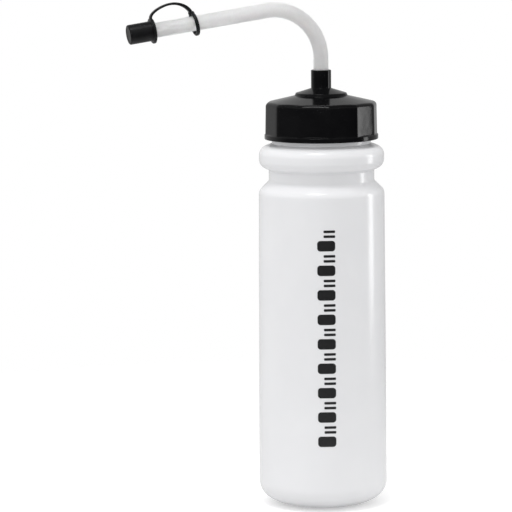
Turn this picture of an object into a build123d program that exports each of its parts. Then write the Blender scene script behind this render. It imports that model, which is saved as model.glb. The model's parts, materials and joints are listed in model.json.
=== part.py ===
from build123d import *
import math
import os

# Squeeze bottle with a screw lid and a long bent drinking straw. Millimetres, +Z up.
# The origin is the centre of the foot ring, on the surface that the bottle stands on.

# Bottle: one blow-moulded shell. Each outline corner is (radius from the axis, height, rounding).
wall = 1.3
body_radius = 38.2
upper_body_radius = 37.42
straight_body_top = 46.0
recess_height = 2.4
foot_ring_inner = 15.5
foot_ring_outer = 26.0
foot_rise = 7.04
shoulder_height = 188.9
waist_radius = 31.4
waist_bottom = 194.9
waist_top = 201.2
bead_radius = 37.25
bead_bottom = 203.93
bead_top = 214.2
neck_radius = 29.4
neck_bottom = 217.0
mouth_height = 238.5

# Screw thread between the neck and the lid, right-handed with one start.
thread_pitch = 5.0
thread_depth = 1.1
thread_root_width = 2.4
thread_crest_width = 1.2
thread_bite = 0.25
neck_thread_start = 222.6
neck_thread_turns = 2.0
lid_thread_turns = 1.75

# Lid: one injection-moulded shell with a twelve-sided grip.
lid_bottom = 219.6
lid_bore_radius = 30.8
lid_ceiling = 240.2
band_radius = 33.9
band_top = 222.2
facet_count = 12
facet_turn = 7.5
facet_rounding = 2.0
ridge_radius_bottom = 33.85
ridge_radius_top = 33.5
shoulder_radius = 33.6
shoulder_rounding = 2.6
shoulder_top = 241.2
cone_step_radius = 15.8
cone_step_bottom = 245.4
rim_radius = 15.1
rim_top = 247.0
collar_radius = 6.0
collar_bottom = 249.8
collar_top = 260.6
seat_radius = 24.0
seat_top = 241.9
inner_step_radius = 13.6
inner_step_height = 244.4
sleeve_root_height = 247.5
sleeve_bottom = 240.2
facet_overrun = 2.0
trim_margin = 5.0

# Sealing ring between the mouth and the lid's ceiling.
gasket_inner = 26.0
gasket_outer = 30.3
face_gap = 0.05

# Straw: one tube, upright through the collar, then bent over into a drooping arm.
straw_radius = 4.4
straw_bore = 3.2
straw_bottom = 8.0
bend_radius = 29.4
bend_start = 267.4
arm_droop = 8.3
arm_turn = 17.0
straw_fit = 0.05

# Cap, tether ring and strap, placed by their distance along the arm from the end of the bend.
cap_open_end = 69.8
cap_length = 15.6
cap_radius = 5.85
cap_end_wall = 1.9
cap_rounding = 1.1
flange_radius = 7.5
flange_thickness = 1.8
tip_gap = 0.5
ring_centre = 44.8
ring_radius = 7.1
ring_bore = 5.6
ring_width = 2.2
ring_sag = 0.3
ring_tilt = 5.0
boss_width = 3.4
boss_length = 2.6
boss_top = 8.1
boss_bury = 0.5
strap_width = 3.4
strap_thickness = 1.3
strap_gap = 0.25
strap_peak = 12.8
strap_peak_place = 57.0
strap_cap_height = 6.9
strap_ring_height = 7.5


def turned(corners):
    """Solid of revolution about Z from a closed outline of (radius, height, rounding) corners."""
    points = [(radius, 0, height) for radius, height, _ in corners]
    roundings = [rounding for _, _, rounding in corners]
    outline = FilletPolyline(*points, radius=roundings, close=True)
    return revolve(make_face(outline), Axis.Z)


def inset(corners, depth):
    """The same outline moved inwards by depth, with its roundings kept concentric."""
    moved = []
    for index, (radius, height, rounding) in enumerate(corners):
        here = Vector(radius, height)
        normals = []
        if index > 0:
            step = here - Vector(*corners[index - 1][:2])
            normals.append(Vector(-step.Y, step.X).normalized())
        if index < len(corners) - 1:
            step = Vector(*corners[index + 1][:2]) - here
            normals.append(Vector(-step.Y, step.X).normalized())
        first, last = normals[0], normals[-1]
        shift = (first + last) * (depth / (1 + first.dot(last)))
        convex = first.X * last.Y - first.Y * last.X > 0
        inner_rounding = rounding - depth if convex else rounding + depth
        moved.append((here.X + shift.X, here.Y + shift.Y, max(inner_rounding, 0) if rounding else 0))
    return moved


def thread(root_radius, direction, start, turns):
    """Helical ridge on a cylinder: direction is 1 for an outside thread and -1 for an inside one."""
    helix = Helix(pitch=thread_pitch, height=turns * thread_pitch, radius=root_radius, center=(0, 0, start))
    root = -thread_bite * direction
    crest = thread_depth * direction
    outline = Polyline(
        (root, -thread_root_width / 2),
        (crest, -thread_crest_width / 2),
        (crest, thread_crest_width / 2),
        (root, thread_root_width / 2),
        close=True,
    )
    section_plane = Plane(origin=helix @ 0, x_dir=(1, 0, 0), z_dir=helix % 0)
    return sweep(section_plane * make_face(outline), path=helix, is_frenet=True)


def bottle_shell():
    """Blow-moulded shell with its foot recess, rounded shoulder, finger waist, bead and neck."""
    outside = [
        (0, recess_height, 0),
        (foot_ring_inner - 2.0, recess_height, 2.0),
        (foot_ring_inner, 0, 1.4),
        (foot_ring_outer, 0, 25.0),
        (body_radius, foot_rise, 11.0),
        (body_radius, straight_body_top, 0),
        (upper_body_radius, shoulder_height, 5.0),
        (waist_radius, waist_bottom, 1.8),
        (waist_radius, waist_top, 0.8),
        (bead_radius, bead_bottom, 5.4),
        (bead_radius, bead_top, 5.8),
        (neck_radius, neck_bottom, 0.6),
        (neck_radius, mouth_height, 0),
    ]
    shell = turned(outside + inset(outside, wall)[::-1])
    return shell + thread(neck_radius, 1, neck_thread_start, neck_thread_turns)


def lid_facets():
    """Twelve-sided prism with rounded ridges and a slight draft, above the round bottom band."""
    sections = []
    ends = ((band_top, ridge_radius_bottom), (shoulder_top + facet_overrun, ridge_radius_top))
    for height, ridge_radius in ends:
        polygon = RegularPolygon(radius=ridge_radius, side_count=facet_count, rotation=facet_turn)
        rounded = fillet(polygon.vertices(), facet_rounding)
        sections.append(Pos(0, 0, height) * rounded)
    return loft(sections)


def lid_shell():
    """Screw lid: grip skirt, two shallow cones, the straw collar and its inner sleeve."""
    bore = straw_radius + straw_fit
    outline = [
        (lid_bore_radius, lid_bottom, 0.4),
        (band_radius, lid_bottom, 0.5),
        (band_radius, band_top, 0),
        (shoulder_radius, band_top, 0),
        (shoulder_radius, shoulder_top, shoulder_rounding),
        (cone_step_radius, cone_step_bottom, 0.4),
        (rim_radius, rim_top, 0.4),
        (collar_radius, collar_bottom, 0.3),
        (collar_radius, collar_top, 0.4),
        (bore, collar_top, 0),
        (bore, sleeve_bottom, 0),
        (collar_radius, sleeve_bottom, 0),
        (collar_radius, sleeve_root_height, 0.3),
        (inner_step_radius, inner_step_height, 0),
        (seat_radius, seat_top, 0.5),
        (seat_radius, lid_ceiling, 0.3),
        (lid_bore_radius, lid_ceiling, 0.5),
    ]
    lid = turned(outline)
    block_height = shoulder_top - band_top + facet_overrun
    block = Pos(0, 0, band_top + block_height / 2) * Cylinder(band_radius + trim_margin, block_height)
    lid -= block - lid_facets()
    lid_thread_start = neck_thread_start + thread_pitch / 2
    return lid + thread(lid_bore_radius, -1, lid_thread_start, lid_thread_turns)


def lid_gasket():
    """Flat sealing ring under the lid's ceiling."""
    bottom = mouth_height + face_gap
    top = lid_ceiling - face_gap
    corners = [
        (gasket_inner, bottom, 0.2),
        (gasket_outer, bottom, 0.2),
        (gasket_outer, top, 0.2),
        (gasket_inner, top, 0.2),
    ]
    return turned(corners)


def bend_point():
    """End of the straw's bend, in the plane of the arm before the arm is turned about Z."""
    swing = math.radians(90 + arm_droop)
    return Vector(bend_radius * (math.cos(swing) - 1), 0, bend_start + bend_radius * math.sin(swing))


def arm_direction():
    droop = math.radians(arm_droop)
    return Vector(-math.cos(droop), 0, -math.sin(droop))


def on_arm(distance):
    """Plane square to the arm: its normal points to the straw's tip and its X axis points up."""
    along = arm_direction()
    return Plane(origin=bend_point() + along * distance, x_dir=(along.Z, 0, -along.X), z_dir=along)


def along_arm(corners):
    """Turned solid whose axis is the arm's; each height is a distance along the arm."""
    return on_arm(0) * turned(corners)


def placed(solid):
    """Turn a piece of the arm from the XZ plane to where the arm really points."""
    return Rot(0, 0, arm_turn) * solid


def straw():
    """Tube from just above the bottle's floor, through the collar and round the bend to its tip."""
    tip = cap_open_end + cap_length - cap_end_wall - tip_gap
    corner = Vector(0, 0, bend_start + bend_radius * math.tan(math.radians(90 + arm_droop) / 2))
    end = bend_point() + arm_direction() * tip
    route = FilletPolyline((0, 0, straw_bottom), corner, end, radius=bend_radius)
    section = Plane.XY.offset(straw_bottom) * (Circle(straw_radius) - Circle(straw_bore))
    return placed(sweep(section, path=route))


def straw_cap():
    """Soft cap with a flange round its open end."""
    bore = straw_radius + straw_fit
    closed_end = cap_open_end + cap_length
    corners = [
        (0, closed_end - cap_end_wall, 0),
        (bore, closed_end - cap_end_wall, 0),
        (bore, cap_open_end, 0.3),
        (flange_radius, cap_open_end, 0.5),
        (flange_radius, cap_open_end + flange_thickness, 0.5),
        (cap_radius, cap_open_end + flange_thickness, 0.3),
        (cap_radius, closed_end, cap_rounding),
        (0, closed_end, 0),
    ]
    return placed(along_arm(corners))


def tether_ring():
    """Loose ring, hanging and leaning on the straw, with a boss on top where the strap ends."""
    corners = [
        (ring_bore, -ring_width / 2, 0.6),
        (ring_radius, -ring_width / 2, 0.6),
        (ring_radius, ring_width / 2, 0.6),
        (ring_bore, ring_width / 2, 0.6),
    ]
    boss_height = boss_top - ring_bore - boss_bury
    boss_place = Pos(boss_top - boss_height / 2, 0, (boss_length - ring_width) / 2)
    ring = turned(corners) + boss_place * Box(boss_height, boss_width, boss_length)
    leaning = Pos(-ring_sag, 0, 0) * Rot(0, -ring_tilt, 0) * ring
    return placed(on_arm(ring_centre) * leaning)


def cap_strap():
    """Arched strap from the cap's flange back to the ring's boss."""
    plane = Plane(origin=bend_point(), x_dir=arm_direction(), z_dir=(0, 1, 0))
    cap_end = (cap_open_end + flange_thickness / 2, strap_cap_height)
    lean = math.radians(ring_tilt)
    boss_reach = (boss_length - ring_width / 2) * math.cos(lean) + strap_ring_height * math.sin(lean)
    ring_face = ring_centre + boss_reach + strap_gap
    peak = (strap_peak_place, strap_peak)
    rise = Spline(cap_end, peak, (ring_face, strap_ring_height), tangents=[(0.1, 1), (-1, -0.35)])
    start = Plane(origin=rise @ 0, x_dir=(0, 0, 1), z_dir=rise % 0)
    section = start * Rectangle(strap_width, strap_thickness)
    return placed(plane * sweep(section, path=rise))


def make_parts():
    return {
        "bottle_shell": bottle_shell(),
        "lid_shell": lid_shell(),
        "lid_gasket": lid_gasket(),
        "straw": straw(),
        "straw_cap": straw_cap(),
        "tether_ring": tether_ring(),
        "cap_strap": cap_strap(),
    }


os.makedirs("parts", exist_ok=True)
for name, solid in make_parts().items():
    solid.label = name
    export_step(solid, f"parts/{name}.step")
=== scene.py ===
import json
import math
import bmesh
import bpy
from mathutils import Matrix, Vector, noise


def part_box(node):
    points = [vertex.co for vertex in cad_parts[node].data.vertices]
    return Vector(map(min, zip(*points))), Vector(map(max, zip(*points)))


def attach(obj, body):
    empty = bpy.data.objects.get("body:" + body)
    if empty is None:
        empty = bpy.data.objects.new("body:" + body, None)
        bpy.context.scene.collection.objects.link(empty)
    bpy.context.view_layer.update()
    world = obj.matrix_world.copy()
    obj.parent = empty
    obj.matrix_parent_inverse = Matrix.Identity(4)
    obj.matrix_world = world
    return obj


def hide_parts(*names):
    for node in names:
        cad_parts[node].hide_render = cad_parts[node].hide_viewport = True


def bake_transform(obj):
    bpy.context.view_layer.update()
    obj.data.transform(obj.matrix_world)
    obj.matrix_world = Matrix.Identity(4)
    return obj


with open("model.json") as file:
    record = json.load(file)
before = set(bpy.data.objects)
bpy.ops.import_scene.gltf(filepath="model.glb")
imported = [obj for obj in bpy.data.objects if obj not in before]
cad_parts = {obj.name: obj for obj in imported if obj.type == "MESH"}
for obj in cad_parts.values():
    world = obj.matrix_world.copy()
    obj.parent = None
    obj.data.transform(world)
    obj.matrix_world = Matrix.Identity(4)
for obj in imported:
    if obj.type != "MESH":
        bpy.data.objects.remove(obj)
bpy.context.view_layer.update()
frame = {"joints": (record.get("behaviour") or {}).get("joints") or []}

# Outlines are written in millimetres, like the CAD part; every mesh is stored in metres.
MM = 0.001
BOTTLE_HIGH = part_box("bottle_shell")[1] / MM
LID_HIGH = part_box("lid_shell")[1] / MM
GASKET_LOW, GASKET_HIGH = [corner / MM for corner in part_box("lid_gasket")]
STRAW_LOW, STRAW_HIGH = [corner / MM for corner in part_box("straw")]
JOINTS = {joint["name"]: joint for joint in frame["joints"]}

# Bottle
WALL = 1.3
BODY_RADIUS = BOTTLE_HIGH.x
MOUTH = BOTTLE_HIGH.z
NECK_RADIUS = 29.4
SEAM_HEIGHT = 0.11
SEAM_WIDTH = 0.55
WAVINESS = 0.05

# Screw thread
PITCH = 5.0
THREAD_DEPTH = 1.1
THREAD_FLAT = 0.5
THREAD_FLANK = 0.75
THREAD_RUNOUT = 0.07
NECK_THREAD = (222.6, 2.0)
LID_THREAD = (NECK_THREAD[0] + PITCH / 2, 1.75)

# Lid
LID_BORE = 30.8
BAND_RADIUS = LID_HIGH.x
LID_EDGE = 219.6
BAND_TOP = 222.2
FACETS = 12
FACET_TURN = math.radians(7.5)
RIDGE_BOTTOM = 33.85
RIDGE_TOP = 33.5
SHOULDER_TOP = 241.2
CONE_SLOPE = 0.236

# Straw and its arm
STRAW_RADIUS = 4.4
STRAW_BORE = 3.2
BEND_RADIUS = 29.4
BEND_START = STRAW_HIGH.z - STRAW_RADIUS - BEND_RADIUS
ARM = Vector(JOINTS["cap_pull"]["axis"]).normalized()
DROOP = -math.asin(ARM.z)
ARM_SIDE = Vector((ARM.x, ARM.y, 0)).normalized()
SWING = math.pi / 2 + DROOP
BEND_TOP = Vector((0, 0, BEND_START + BEND_RADIUS * math.sin(SWING)))
BEND_END = ARM_SIDE * BEND_RADIUS * (1 - math.cos(SWING)) + BEND_TOP

# Cap, ring and strap: distances along the arm from the end of the bend
CAP_OPEN_END = 69.8
CAP_LENGTH = 15.6
CAP_RADIUS = 5.85
CAP_BORE = 4.45
CAP_END_WALL = 1.9
FLANGE_RADIUS = 7.5
FLANGE_THICKNESS = 1.8
TIP_GAP = 0.5
RING_CENTRE = 44.8
RING_RADIUS = 7.1
RING_BORE = 5.6
RING_WIDTH = 2.2
RING_SAG = 0.3
RING_TILT = math.radians(5)


# ---------------------------------------------------------------- geometry helpers

def rounded(corners, spacing=2.0, arc_step=math.radians(7)):
    """Points along an open outline of (radius, height, rounding) corners, with the roundings as arcs."""
    points = []
    for index, (x, y, rounding) in enumerate(corners):
        here = Vector((x, y))
        if index in (0, len(corners) - 1) or not rounding:
            arc = [here]
        else:
            back = (Vector(corners[index - 1][:2]) - here).normalized()
            ahead = (Vector(corners[index + 1][:2]) - here).normalized()
            turn = math.pi - back.angle(ahead)
            reach = rounding * math.tan(turn / 2)
            centre = here + (back + ahead).normalized() * (rounding / math.cos(turn / 2))
            spoke = here + back * reach - centre
            side = 1 if back.x * ahead.y - back.y * ahead.x < 0 else -1
            steps = max(3, math.ceil(turn / arc_step))
            spokes = [Matrix.Rotation(side * turn * i / steps, 2) @ spoke for i in range(steps + 1)]
            arc = [centre + s for s in spokes]
        if points:
            run = arc[0] - points[-1]
            pieces = max(1, math.ceil(run.length / spacing))
            start = points[-1]
            points += [start + run * (i / pieces) for i in range(1, pieces)]
        points += arc
    return points


def link(name, mesh):
    obj = bpy.data.objects.new(name, mesh)
    bpy.context.scene.collection.objects.link(obj)
    for polygon in mesh.polygons:
        polygon.use_smooth = True
    return obj


def grid_mesh(name, rows, wrap_rows, wrap_points, start_cap=False, end_cap=False):
    """Mesh through rows of points. A capped end closes on the middle of its row."""
    count, width = len(rows), len(rows[0])
    vertices = [point for row in rows for point in row]
    faces = []
    for i in range(count if wrap_rows else count - 1):
        for j in range(width if wrap_points else width - 1):
            a, b = i * width + j, i * width + (j + 1) % width
            c, d = (i + 1) % count * width + (j + 1) % width, (i + 1) % count * width + j
            faces.append((a, b, c, d))
    for capped, row in ((start_cap, 0), (end_cap, count - 1)):
        if capped:
            middle = sum((Vector(p) for p in rows[row]), Vector((0, 0, 0))) / width
            vertices.append(middle)
            hub = len(vertices) - 1
            for j in range(width):
                a, b = row * width + j, row * width + (j + 1) % width
                faces.append((b, a, hub) if row == 0 else (a, b, hub))
    mesh = bpy.data.meshes.new(name)
    mesh.from_pydata([tuple(Vector(v) * MM) for v in vertices], [], faces)
    mesh.validate()
    mesh.update()
    fix_normals(mesh)
    return mesh


def fix_normals(mesh):
    work = bmesh.new()
    work.from_mesh(mesh)
    bmesh.ops.recalc_face_normals(work, faces=work.faces)
    work.to_mesh(mesh)
    work.free()


def turned(name, outline_at, angles, closed):
    """Surface of revolution whose outline may change with the angle.

    A closed outline goes round a ring's section; an open one ends near the axis at both ends.
    """
    columns = []
    for angle in angles:
        c, s = math.cos(angle), math.sin(angle)
        columns.append([Vector((p.x * c, p.x * s, p.y)) for p in outline_at(angle)])
    rows = [list(row) for row in zip(*columns)]
    mesh = grid_mesh(name, rows, closed, True, not closed, not closed)
    return link(name, mesh)


def even_angles(count):
    return [2 * math.pi * i / count for i in range(count)]


def smooth_step(value):
    t = min(max(value, 0), 1)
    return t * t * (3 - 2 * t)


def thread_height(angle, height, start, turns):
    """Height of a one-start, right-handed trapezoid ridge at a place on its cylinder."""
    best = 0
    for turn in range(-1, math.ceil(turns) + 1):
        along = angle / (2 * math.pi) + turn
        if not 0 <= along <= turns:
            continue
        away = abs(height - start - along * PITCH)
        ridge = 1 - smooth_step((away - THREAD_FLAT) / THREAD_FLANK)
        runout = smooth_step(along / THREAD_RUNOUT) * smooth_step((turns - along) / THREAD_RUNOUT)
        best = max(best, ridge * runout)
    return best * THREAD_DEPTH


# ---------------------------------------------------------------- pieces

def bottle_shell():
    """Blow-moulded shell with its parting line, thread, rounded mouth and recessed foot."""
    outside = [
        (0.4, 2.4, 0),
        (13.5, 2.4, 2.0),
        (15.5, 0, 1.4),
        (26.0, 0, 25.0),
        (BODY_RADIUS, 7.04, 11.0),
        (BODY_RADIUS, 46.0, 60.0),
        (37.42, 188.9, 5.0),
        (31.4, 194.9, 1.8),
        (31.4, 201.2, 0.8),
        (37.25, 203.93, 5.4),
        (37.25, 214.2, 5.8),
        (NECK_RADIUS, 217.0, 0.6),
        (NECK_RADIUS, MOUTH, 0.45),
        (NECK_RADIUS - WALL, MOUTH, 0.45),
        (NECK_RADIUS - WALL, 216.0, 2.0),
        (37.25 - WALL, 213.3, 4.5),
        (37.25 - WALL, 204.7, 4.1),
        (31.4 - WALL, 202.0, 2.0),
        (31.4 - WALL, 194.4, 3.0),
        (37.42 - WALL, 188.4, 3.7),
        (BODY_RADIUS - WALL, 46.0, 60.0),
        (BODY_RADIUS - WALL, 7.9, 9.7),
        (25.6, WALL, 23.7),
        (16.1, WALL, 1.4),
        (14.1, 2.4 + WALL, 2.0),
        (0.4, 2.4 + WALL, 0),
    ]
    outline = rounded(outside, spacing=1.6)
    thread_zone = []
    for first, last in zip(outline, outline[1:]):
        thread_zone.append(first)
        on_neck = abs(first.x - last.x) < 1e-4
        if on_neck and abs(first.x - NECK_RADIUS) < 1e-3 and first.y < 236:
            thread_zone += [first.lerp(last, i / 8) for i in range(1, 8)]
    outline = thread_zone + [outline[-1]]

    def outline_at(angle):
        from_seam = min(abs(math.remainder(angle, math.pi)) * BODY_RADIUS, 9)
        seam = SEAM_HEIGHT * (1 - smooth_step(from_seam / SEAM_WIDTH))
        points = []
        for index, p in enumerate(outline):
            radius, height = p.x, p.y
            outer = index < len(outline) * 0.55 and radius > NECK_RADIUS - 0.01
            if outer and height > 0.2:
                place = Vector((math.cos(angle) * 1.3, math.sin(angle) * 1.3, height / 60))
                radius += WAVINESS * noise.noise(place) * smooth_step((height - 2) / 20)
                radius += seam * smooth_step((height - 0.6) / 3)
            if outer and abs(p.x - NECK_RADIUS) < 1e-3:
                radius += thread_height(angle, height, *NECK_THREAD)
            points.append(Vector((radius, height)))
        return points

    seam_angles = [side + offset for side in (0, math.pi) for offset in
                   [0.55 * SEAM_WIDTH * i / 4 / BODY_RADIUS for i in range(-8, 9)]]
    angles = sorted(set([round(a % (2 * math.pi), 6) for a in even_angles(240) + seam_angles]))
    obj = turned("bottle_body", outline_at, angles, False)
    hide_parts("bottle_shell")
    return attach(obj, "bottle")


def facet_radius(angle, ridge):
    """Radius of the twelve-sided skirt at an angle, with its ridges rounded."""
    half = math.pi / FACETS
    away = abs(math.remainder(angle - FACET_TURN, 2 * half))
    flat = ridge * math.cos(half) / math.cos(half - away)
    crown = ridge - 0.12
    blend = 0.16
    return -blend * math.log(math.exp(-flat / blend) + math.exp(-crown / blend)) + blend * 0.05


def lid_shell():
    """Screw lid: faceted skirt over a round band, two shallow cones and the straw's collar."""
    bore = STRAW_RADIUS + 0.05

    def outline_at(angle):
        low = facet_radius(angle, RIDGE_BOTTOM)
        high = facet_radius(angle, RIDGE_TOP)
        corner_height = SHOULDER_TOP + (33.6 - high) * CONE_SLOPE
        section = [
            (LID_BORE, 225.0, 0),
            (LID_BORE, LID_EDGE, 0.4),
            (BAND_RADIUS, LID_EDGE, 0.5),
            (BAND_RADIUS, BAND_TOP, 0.35),
            (low, BAND_TOP + 0.2 + (BAND_RADIUS - low) * 0.6, 0.25),
            (high, corner_height, 2.6),
            (15.8, 245.4, 0.35),
            (15.1, 247.0, 0.4),
            (6.0, 249.8, 0.35),
            (6.0, LID_HIGH.z, 0.45),
            (bore, LID_HIGH.z, 0.3),
            (bore, 240.2, 0.3),
            (6.0, 240.2, 0.4),
            (6.0, 247.5, 0.3),
            (13.6, 244.4, 0.5),
            (24.0, 241.9, 0.5),
            (24.0, 240.2, 0.3),
            (LID_BORE, 240.2, 0.5),
            (LID_BORE, 225.1, 0),
        ]
        return rounded(section, spacing=1.5)

    def with_thread(angle):
        points = []
        for p in outline_at(angle):
            radius = p.x
            if abs(p.x - LID_BORE) < 1e-3 and p.y < 239:
                radius -= thread_height(angle, p.y, *LID_THREAD)
            points.append(Vector((radius, p.y)))
        return points

    half = math.pi / FACETS
    shares = [0, 0.018, 0.036, 0.056, 0.08, 0.12, 0.2, 0.32, 0.46, 0.62, 0.8]
    offsets = sorted(set([s for s in shares] + [-s for s in shares[1:]] + [1]))
    angles = [FACET_TURN + half * (2 * k + offset) for k in range(FACETS) for offset in offsets]
    obj = turned("screw_lid", with_thread, angles, True)
    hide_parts("lid_shell")
    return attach(obj, "lid")


def lid_gasket():
    low, high = GASKET_LOW.z, GASKET_HIGH.z
    middle = (low + high) / 2
    section = [(26.0, middle, 0), (26.0, low, 0.3), (30.3, low, 0.3), (30.3, high, 0.3), (26.0, high, 0.3),
               (26.0, middle + 0.05, 0)]
    obj = turned("sealing_ring", lambda angle: rounded(section, spacing=0.8), even_angles(160), True)
    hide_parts("lid_gasket")
    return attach(obj, "seal")


def straw_route():
    """Centre line of the straw, bottom to tip, as (point, direction) pairs."""
    tip = CAP_OPEN_END + CAP_LENGTH - CAP_END_WALL - TIP_GAP
    up = Vector((0, 0, 1))
    route = []
    for i in range(61):
        route.append((up * (STRAW_LOW.z + (BEND_START - STRAW_LOW.z) * i / 60), up))
    for i in range(1, 41):
        swing = SWING * i / 40
        out = BEND_RADIUS * (1 - math.cos(swing))
        high = BEND_START + BEND_RADIUS * math.sin(swing)
        route.append((ARM_SIDE * out + up * high, ARM_SIDE * math.sin(swing) + up * math.cos(swing)))
    for i in range(1, 25):
        route.append((BEND_END + ARM * tip * i / 24, ARM))
    return route


def straw():
    """One tube with a real wall, cut square at both ends."""
    across = ARM_SIDE.cross(Vector((0, 0, 1)))
    angles = even_angles(48)
    route = straw_route()

    def loop(place, direction, radius):
        out = across.cross(direction)
        return [place + across * radius * math.cos(a) + out * radius * math.sin(a) for a in angles]

    edge = 0.22
    first, last = route[0], route[-1]
    rows = [loop(first[0], first[1], STRAW_BORE + edge), loop(first[0], first[1], STRAW_RADIUS - edge)]
    along = [(p + d * (edge if i == 0 else 0), d) for i, (p, d) in enumerate(route[:-1])]
    rows += [loop(p, d, STRAW_RADIUS) for p, d in along]
    rows.append(loop(last[0] - last[1] * edge, last[1], STRAW_RADIUS))
    rows += [loop(last[0], last[1], STRAW_RADIUS - edge), loop(last[0], last[1], STRAW_BORE + edge)]
    rows.append(loop(last[0] - last[1] * edge, last[1], STRAW_BORE))
    rows += [loop(p, d, STRAW_BORE) for p, d in reversed(along)]
    obj = link("drinking_straw", grid_mesh("drinking_straw", rows, True, True))
    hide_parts("straw")
    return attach(obj, "straw")


def arm_frame(distance, sag=0.0):
    """Matrix whose Z runs along the arm towards the tip and whose X points up, square to the arm."""
    up = (Vector((0, 0, 1)) - ARM * ARM.z).normalized()
    side = ARM.cross(up)
    place = BEND_END + ARM * distance - up * sag
    matrix = Matrix((up, side, ARM)).transposed().to_4x4()
    matrix.translation = place * MM
    return matrix


def on_arm(obj, matrix, body, slot, *nodes):
    obj.data.transform(matrix)
    obj.data.update()
    fix_normals(obj.data)
    if nodes:
        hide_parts(*nodes)
    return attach(obj, body)


def straw_cap():
    """Soft cap with a rolled closed end and a flange round its open end."""
    section = [
        (0.2, CAP_LENGTH - CAP_END_WALL, 0),
        (CAP_BORE, CAP_LENGTH - CAP_END_WALL, 0.5),
        (CAP_BORE, 0, 0.35),
        (FLANGE_RADIUS, 0, 0.55),
        (FLANGE_RADIUS, FLANGE_THICKNESS, 0.6),
        (CAP_RADIUS, FLANGE_THICKNESS, 0.45),
        (CAP_RADIUS, CAP_LENGTH, 0.9),
        (4.1, CAP_LENGTH, 0.2),
        (3.9, CAP_LENGTH - 0.18, 0.2),
        (0.2, CAP_LENGTH - 0.18, 0),
    ]
    outline = rounded(section, 0.9, math.radians(9))
    obj = turned("straw_cap_body", lambda angle: outline, even_angles(96), False)
    return on_arm(obj, arm_frame(CAP_OPEN_END), "cap", "cap_rubber", "straw_cap")


def tether_ring():
    """Loose ring with the pad where the strap runs into it."""
    half = RING_WIDTH / 2

    def outline_at(angle):
        pad = math.exp(-((math.remainder(angle, 2 * math.pi)) / 0.27) ** 4)
        outer = RING_RADIUS + 0.7 * pad
        front = half + 1.0 * pad
        section = [
            (RING_BORE, 0, 0),
            (RING_BORE, -half, 0.55),
            (outer, -half, 0.7),
            (outer, front, 0.7),
            (RING_BORE, front, 0.55),
            (RING_BORE, 0.05, 0),
        ]
        return rounded(section, 0.7, math.radians(12))

    obj = turned("tether_ring_body", outline_at, even_angles(128), True)
    lean = Matrix.Rotation(-RING_TILT, 4, "Y")
    return on_arm(obj, arm_frame(RING_CENTRE, RING_SAG) @ lean, "ring", "cap_rubber", "tether_ring")


def strap():
    """Arched strap, thin where it leaves the cap's flange and thicker where it runs into the ring."""
    up = (Vector((0, 0, 1)) - ARM * ARM.z).normalized()
    side = ARM.cross(up)
    start = (CAP_OPEN_END + FLANGE_THICKNESS / 2, FLANGE_RADIUS - 0.5)
    end = (RING_CENTRE + 1.5, 7.5)
    knots = [start, (CAP_OPEN_END + 0.9, 9.8), (62.2, 14.1), (52.3, 13.8), (47.6, 10.0), end]
    curve = bpy.data.curves.new("strap_line", "CURVE")
    curve.dimensions = "3D"
    spline = curve.splines.new("NURBS")
    spline.points.add(len(knots) - 1)
    for point, (along, height) in zip(spline.points, knots):
        point.co = (along, height, 0, 1)
    spline.order_u = 4
    spline.use_endpoint_u = True
    spline.resolution_u = 12
    holder = bpy.data.objects.new("strap_line", curve)
    samples = [v.co.copy() for v in bpy.data.meshes.new_from_object(holder).vertices]
    bpy.data.objects.remove(holder)
    rows = []
    total = len(samples) - 1
    for i, sample in enumerate(samples):
        before, after = samples[max(i - 1, 0)], samples[min(i + 1, total)]
        along = (after - before).normalized()
        normal = Vector((-along.y, along.x))
        share = i / total
        thick = 0.62 + 0.4 * smooth_step((share - 0.35) / 0.6)
        wide = 1.7 + 0.25 * smooth_step((share - 0.6) / 0.4) + 0.3 * smooth_step(1 - share / 0.12)
        row = []
        for k in range(20):
            a = 2 * math.pi * k / 20
            u = math.copysign(abs(math.cos(a)) ** 0.45, math.cos(a)) * wide
            v = math.copysign(abs(math.sin(a)) ** 0.45, math.sin(a)) * thick
            flat = Vector((sample.x, sample.y)) + normal * v
            row.append(BEND_END + ARM * flat.x + up * flat.y + side * u)
        rows.append(row)
    obj = link("tether_strap", grid_mesh("tether_strap", rows, False, True, True, True))
    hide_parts("cap_strap")
    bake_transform(obj)
    return obj


# ---------------------------------------------------------------- printed scale

PRINT_TURN = math.radians(2.7)
PRINT_LOW = 40.0
PRINT_HIGH = 171.0


def printed_bar(middle, height, width, offset):
    """One printed bar with rounded ends, as (across, lower edge, upper edge) stations."""
    rounding = min(height, width) / 2 * 0.6
    steps = 24
    stations = []
    for i in range(steps + 1):
        across = -math.cos(math.pi * i / steps) * width / 2
        inside = max(0, abs(across) - (width / 2 - rounding))
        half = height / 2 - rounding + math.sqrt(max(rounding ** 2 - inside ** 2, 0))
        stations.append((offset + across, middle - half, middle + half))
    return stations


def bottle_radius_at(height):
    slope = (37.42 - BODY_RADIUS) / (188.9 - 46.0)
    return BODY_RADIUS + max(height - 46.0, 0) * slope


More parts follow.
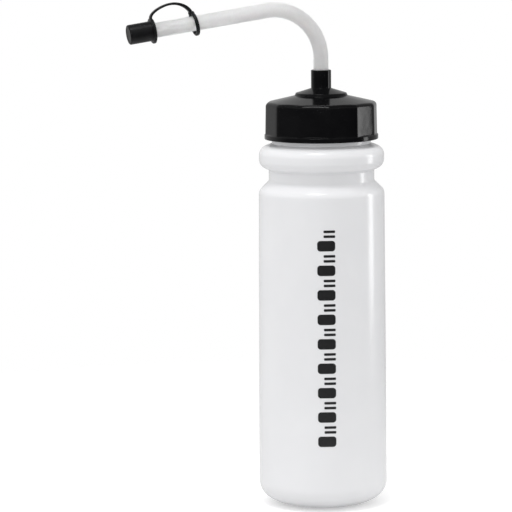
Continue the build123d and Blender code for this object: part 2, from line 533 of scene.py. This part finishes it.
def printed_scale():
    """Level scale printed up the front: a long bar at each mark and two short ones between."""
    marks = 9
    step = (PRINT_HIGH - PRINT_LOW) / marks
    bars = []
    for k in range(marks):
        base = PRINT_LOW + step * k
        bars.append(printed_bar(base + 3.1, 6.2, 10.8, 0))
        for i in range(2):
            bars.append(printed_bar(base + 8.7 + 2.9 * i, 1.5, 7.0, 1.9))
    vertices, faces = [], []
    for stations in bars:
        first = len(vertices)
        for across, *edges in stations:
            for height, lift in [(h, lift) for lift in (0.03, 0.1) for h in edges]:
                radius = bottle_radius_at(height) + lift
                angle = -math.pi / 2 + PRINT_TURN + across / BODY_RADIUS
                vertices.append(Vector((radius * math.cos(angle), radius * math.sin(angle), height)) * MM)
        for i in range(len(stations) - 1):
            a, b = first + 4 * i, first + 4 * (i + 1)
            faces += [(a + p, b + p, b + q, a + q) for p, q in ((2, 3), (3, 1), (1, 0), (0, 2))]
        last = first + 4 * (len(stations) - 1)
        faces += [(first, first + 2, first + 3, first + 1), (last, last + 1, last + 3, last + 2)]
    mesh = bpy.data.meshes.new("printed_scale")
    mesh.from_pydata([tuple(v) for v in vertices], [], faces)
    mesh.update()
    fix_normals(mesh)
    obj = bpy.data.objects.new("printed_scale", mesh)
    bpy.context.scene.collection.objects.link(obj)
    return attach(obj, "bottle")


# ---------------------------------------------------------------- materials

def new_material(name):
    material = bpy.data.materials.new(name)
    material.use_nodes = True
    nodes, links = material.node_tree.nodes, material.node_tree.links
    shader = nodes["Principled BSDF"]
    place = nodes.new("ShaderNodeTexCoord").outputs["Object"]
    return material, nodes, links, shader, place


def noise_node(nodes, links, place, scale, detail=3.0, roughness=0.5, stretch=None):
    texture = nodes.new("ShaderNodeTexNoise")
    texture.inputs["Scale"].default_value = scale
    texture.inputs["Detail"].default_value = detail
    texture.inputs["Roughness"].default_value = roughness
    if stretch:
        mapping = nodes.new("ShaderNodeMapping")
        mapping.inputs["Scale"].default_value = stretch
        links.new(place, mapping.inputs["Vector"])
        place = mapping.outputs["Vector"]
    links.new(place, texture.inputs["Vector"])
    return texture.outputs["Fac"]


def spread(nodes, links, value, low, high, start=0.3, stop=0.7):
    """Map a noise's middle band onto low..high."""
    node = nodes.new("ShaderNodeMapRange")
    node.inputs["From Min"].default_value = start
    node.inputs["From Max"].default_value = stop
    node.inputs["To Min"].default_value = low
    node.inputs["To Max"].default_value = high
    links.new(value, node.inputs["Value"])
    return node.outputs["Result"]


def colours(nodes, links, value, stops):
    ramp = nodes.new("ShaderNodeValToRGB")
    elements = ramp.color_ramp.elements
    while len(elements) < len(stops):
        elements.new(0.5)
    for element, (position, colour) in zip(elements, stops):
        element.position = position
        element.color = (*colour, 1)
    links.new(value, ramp.inputs["Fac"])
    return ramp.outputs["Color"]


def bump(nodes, links, shader, heights):
    """Chain of bumps: each is (height socket, strength, distance in metres)."""
    normal = None
    for height, strength, distance in heights:
        node = nodes.new("ShaderNodeBump")
        node.inputs["Strength"].default_value = strength
        node.inputs["Distance"].default_value = distance
        links.new(height, node.inputs["Height"])
        if normal:
            links.new(normal, node.inputs["Normal"])
        normal = node.outputs["Normal"]
    links.new(normal, shader.inputs["Normal"])


def white_plastic():
    material, nodes, links, shader, place = new_material("white_squeeze_plastic")
    mottle = noise_node(nodes, links, place, 38, 2)
    tone = colours(nodes, links, mottle, [(0.3, (0.835, 0.835, 0.85)), (0.7, (0.855, 0.855, 0.868))])
    links.new(tone, shader.inputs["Base Color"])
    grain = noise_node(nodes, links, place, 900, 2)
    haze = noise_node(nodes, links, place, 70, 3)
    links.new(spread(nodes, links, haze, 0.17, 0.22), shader.inputs["Roughness"])
    waves = noise_node(nodes, links, place, 55, 1, 0.4, (1, 1, 0.35))
    bump(nodes, links, shader, [(waves, 0.5, 0.00025), (grain, 0.25, 0.00003)])
    shader.inputs["Subsurface Weight"].default_value = 0.2
    shader.inputs["Subsurface Radius"].default_value = (1.0, 0.95, 0.9)
    shader.inputs["Subsurface Scale"].default_value = 0.004
    shader.inputs["IOR"].default_value = 1.51
    return material


def black_lid_plastic():
    material, nodes, links, shader, place = new_material("black_lid_plastic")
    flow = noise_node(nodes, links, place, 60, 3)
    links.new(colours(nodes, links, flow, [(0.3, (0.0025, 0.0025, 0.003)), (0.7, (0.005, 0.005, 0.0055))]),
              shader.inputs["Base Color"])
    smudge = noise_node(nodes, links, place, 130, 4, 0.6)
    links.new(spread(nodes, links, smudge, 0.09, 0.17), shader.inputs["Roughness"])
    grain = noise_node(nodes, links, place, 1500, 2)
    waves = noise_node(nodes, links, place, 120, 2)
    bump(nodes, links, shader, [(waves, 0.4, 0.00012), (grain, 0.2, 0.00002)])
    shader.inputs["IOR"].default_value = 1.5
    shader.inputs["Specular IOR Level"].default_value = 0.17
    return material


def milky_straw_plastic():
    material, nodes, links, shader, place = new_material("milky_straw_plastic")
    cloud = noise_node(nodes, links, place, 160, 3)
    links.new(colours(nodes, links, cloud, [(0.3, (0.94, 0.943, 0.95)), (0.7, (0.965, 0.968, 0.972))]),
              shader.inputs["Base Color"])
    haze = noise_node(nodes, links, place, 300, 3)
    links.new(spread(nodes, links, haze, 0.45, 0.55), shader.inputs["Roughness"])
    drawn = noise_node(nodes, links, place, 420, 2)
    bump(nodes, links, shader, [(drawn, 0.3, 0.00003)])
    shader.inputs["Transmission Weight"].default_value = 0.2
    shader.inputs["Subsurface Weight"].default_value = 1.0
    shader.inputs["Subsurface Radius"].default_value = (1.0, 1.0, 1.0)
    shader.inputs["Subsurface Scale"].default_value = 0.006
    shader.inputs["IOR"].default_value = 1.5
    return material


def black_cap_rubber():
    material, nodes, links, shader, place = new_material("black_cap_rubber")
    cloud = noise_node(nodes, links, place, 200, 3)
    links.new(colours(nodes, links, cloud, [(0.3, (0.004, 0.004, 0.0045)), (0.7, (0.008, 0.008, 0.009))]),
              shader.inputs["Base Color"])
    haze = noise_node(nodes, links, place, 420, 3)
    links.new(spread(nodes, links, haze, 0.30, 0.46), shader.inputs["Roughness"])
    grain = noise_node(nodes, links, place, 2600, 2)
    dents = noise_node(nodes, links, place, 260, 2)
    bump(nodes, links, shader, [(dents, 0.35, 0.00008), (grain, 0.35, 0.00002)])
    shader.inputs["Specular IOR Level"].default_value = 0.22
    return material


def gasket_foam():
    material, nodes, links, shader, place = new_material("gasket_foam")
    cloud = noise_node(nodes, links, place, 500, 4)
    links.new(colours(nodes, links, cloud, [(0.3, (0.68, 0.67, 0.62)), (0.7, (0.78, 0.77, 0.73))]),
              shader.inputs["Base Color"])
    cells = noise_node(nodes, links, place, 2200, 2)
    bump(nodes, links, shader, [(cells, 0.6, 0.00006)])
    shader.inputs["Roughness"].default_value = 0.8
    return material


def print_ink():
    material, nodes, links, shader, place = new_material("black_print_ink")
    cover = noise_node(nodes, links, place, 700, 3)
    links.new(colours(nodes, links, cover, [(0.3, (0.009, 0.009, 0.010)), (0.7, (0.014, 0.014, 0.015))]),
              shader.inputs["Base Color"])
    screen = noise_node(nodes, links, place, 1800, 2)
    links.new(spread(nodes, links, screen, 0.30, 0.40), shader.inputs["Roughness"])
    bump(nodes, links, shader, [(screen, 0.2, 0.00001)])
    return material


def paint(obj, material):
    obj.data.materials.clear()
    obj.data.materials.append(material)


# ---------------------------------------------------------------- stage, light and camera

# The floor is whole within FLOOR_SOLID metres and has faded out near FLOOR_RADIUS.
FLOOR_RADIUS = 0.62
FLOOR_SOLID = 0.07
FLOOR_GLOW = 0.22

# What the floor sends back to the bottle: its own colour, and a little light of its own.
FLOOR_BOUNCE = 0.56
FLOOR_LIFT = 0.22

# The room's level for diffuse and for glossy rays, and the share left in front, above and right.
ROOM_LIGHT = 1.1
FRONT_SHADE = 0.6
GLOSS_LIGHT = 0.62
FRONT_GLOSS = 0.16
TOP_GLOSS = 0.35
RIGHT_SHADE = 0.6

# Watts
OVERHEAD_POWER = 3.4
STRIP_POWER = 2.0
FILL_POWER = 4.0
ARM_LIGHT_POWER = 0.011

CAMERA_PLACE = (-0.0395, -2.0, 0.402)
CAMERA_PITCH = math.radians(90 - 7.2)
CAMERA_ROLL = math.radians(-0.45)
CAMERA_LENS = 236.8


def floor_white():
    """Pale floor that fades out into the white room away from the bottle."""
    material, nodes, links, shader, place = new_material("floor_white")
    shader.inputs["Base Color"].default_value = (0.93, 0.93, 0.93, 1)
    shader.inputs["Roughness"].default_value = 0.6
    shader.inputs["Emission Color"].default_value = (1, 1, 1, 1)
    shader.inputs["Emission Strength"].default_value = FLOOR_GLOW
    distance = nodes.new("ShaderNodeVectorMath")
    distance.operation = "LENGTH"
    links.new(place, distance.inputs[0])
    fade = spread(nodes, links, distance.outputs["Value"], 0, 1, FLOOR_SOLID, FLOOR_RADIUS * 0.9)
    dull = nodes.new("ShaderNodeBsdfPrincipled")
    dull.inputs["Base Color"].default_value = (FLOOR_BOUNCE, FLOOR_BOUNCE, FLOOR_BOUNCE, 1)
    dull.inputs["Roughness"].default_value = 1.0
    dull.inputs["Emission Color"].default_value = (1, 1, 1, 1)
    dull.inputs["Emission Strength"].default_value = FLOOR_LIFT
    top = nodes.new("ShaderNodeMixShader")
    links.new(nodes.new("ShaderNodeLightPath").outputs["Is Camera Ray"], top.inputs[0])
    links.new(dull.outputs[0], top.inputs[1])
    links.new(shader.outputs[0], top.inputs[2])
    mix = nodes.new("ShaderNodeMixShader")
    links.new(fade, mix.inputs[0])
    links.new(top.outputs[0], mix.inputs[1])
    links.new(nodes.new("ShaderNodeBsdfTransparent").outputs[0], mix.inputs[2])
    links.new(mix.outputs[0], nodes["Material Output"].inputs["Surface"])
    return material


def floor():
    rim = [(FLOOR_RADIUS * math.cos(a), FLOOR_RADIUS * math.sin(a), -0.0002) for a in even_angles(96)]
    mesh = bpy.data.meshes.new("floor")
    mesh.from_pydata(rim, [], [list(range(len(rim)))])
    obj = bpy.data.objects.new("floor", mesh)
    bpy.context.scene.collection.objects.link(obj)
    paint(obj, floor_white())


def area_light(name, place, aim, size, power):
    data = bpy.data.lights.new(name, "AREA")
    data.shape = "RECTANGLE"
    data.size, data.size_y = size
    data.energy = power
    obj = bpy.data.objects.new(name, data)
    bpy.context.scene.collection.objects.link(obj)
    obj.location = place
    obj.rotation_euler = (Vector(aim) - Vector(place)).to_track_quat("-Z", "Y").to_euler()
    return obj


def polar(azimuth, distance, height):
    """Place at an azimuth round the bottle: 0 is the camera's side and 90 is to its right."""
    a = math.radians(azimuth)
    return (distance * math.sin(a), -distance * math.cos(a), height)


def product(nodes, links, first, second):
    node = nodes.new("ShaderNodeMath")
    node.operation = "MULTIPLY"
    links.new(first, node.inputs[0])
    links.new(second, node.inputs[1])
    return node.outputs[0]


def room():
    """White room as the object sees it, dim along the horizon in front, and plain white to the camera."""
    world = bpy.data.worlds.new("white_room")
    bpy.context.scene.world = world
    world.use_nodes = True
    nodes, links = world.node_tree.nodes, world.node_tree.links
    seen = nodes["Background"]
    seen.inputs["Color"].default_value = (1, 1, 1, 1)
    seen.inputs["Strength"].default_value = 1.0
    split = nodes.new("ShaderNodeSeparateXYZ")
    links.new(nodes.new("ShaderNodeTexCoord").outputs["Generated"], split.inputs[0])
    front = spread(nodes, links, split.outputs["Y"], 1, 0, -0.25, 0.35)
    level = spread(nodes, links, split.outputs["Z"], 1, 0, 0.18, 0.42)
    shade = product(nodes, links, front, level)
    top = spread(nodes, links, split.outputs["Z"], 1, TOP_GLOSS, 0.6, 0.8)
    path = nodes.new("ShaderNodeLightPath")
    front_light = nodes.new("ShaderNodeMix")
    links.new(path.outputs["Is Glossy Ray"], front_light.inputs["Factor"])
    soft = spread(nodes, links, shade, ROOM_LIGHT, ROOM_LIGHT * FRONT_SHADE, 0, 1)
    gloss = spread(nodes, links, shade, GLOSS_LIGHT, GLOSS_LIGHT * FRONT_GLOSS, 0, 1)
    links.new(soft, front_light.inputs["A"])
    links.new(product(nodes, links, gloss, top), front_light.inputs["B"])
    side_light = spread(nodes, links, split.outputs["X"], 1, RIGHT_SHADE, -0.3, 0.8)
    room_light = product(nodes, links, front_light.outputs["Result"], side_light)
    dim = nodes.new("ShaderNodeBackground")
    dim.inputs["Color"].default_value = (1, 1, 1, 1)
    links.new(room_light, dim.inputs["Strength"])
    mix = nodes.new("ShaderNodeMixShader")
    links.new(path.outputs["Is Camera Ray"], mix.inputs[0])
    links.new(dim.outputs[0], mix.inputs[1])
    links.new(seen.outputs[0], mix.inputs[2])
    links.new(mix.outputs[0], nodes["World Output"].inputs["Surface"])


def lights():
    middle = (0, 0, 0.15)
    area_light("overhead", polar(-20, 0.42, 1.25), middle, (0.34, 0.3), OVERHEAD_POWER)
    area_light("right_strip", polar(99.5, 1.0, 0.26), (0, 0, 0.18), (0.22, 0.55), STRIP_POWER)
    fill = area_light("soft_fill", polar(0, 1.6, 0.3), (0, 0, 0.18), (1.2, 1.0), FILL_POWER)
    fill.visible_glossy = False
    # a narrow beam from near the floor that reaches the underside of the straw's arm
    arm_middle = (-0.055, -0.02, 0.3)
    low = area_light("low_front", (-0.06, -0.9, 0.03), arm_middle, (0.06, 0.04), ARM_LIGHT_POWER)
    low.data.spread = math.radians(9)
    low.visible_glossy = False


def camera():
    data = bpy.data.cameras.new("camera")
    data.sensor_width = 36
    data.lens = CAMERA_LENS
    data.clip_start = 0.05
    obj = bpy.data.objects.new("camera", data)
    bpy.context.scene.collection.objects.link(obj)
    obj.location = CAMERA_PLACE
    tilt = Matrix.Rotation(CAMERA_PITCH, 3, "X") @ Matrix.Rotation(CAMERA_ROLL, 3, "Z")
    obj.rotation_euler = tilt.to_euler()
    bpy.context.scene.camera = obj
    bpy.context.scene.view_settings.view_transform = "Standard"


# ---------------------------------------------------------------- the scene

white = white_plastic()
lid_black = black_lid_plastic()
rubber = black_cap_rubber()
paint(bottle_shell(), white)
paint(lid_shell(), lid_black)
paint(lid_gasket(), gasket_foam())
paint(straw(), milky_straw_plastic())
paint(straw_cap(), rubber)
paint(tether_ring(), rubber)
paint(strap(), rubber)
paint(printed_scale(), print_ink())
floor()
room()
lights()
camera()
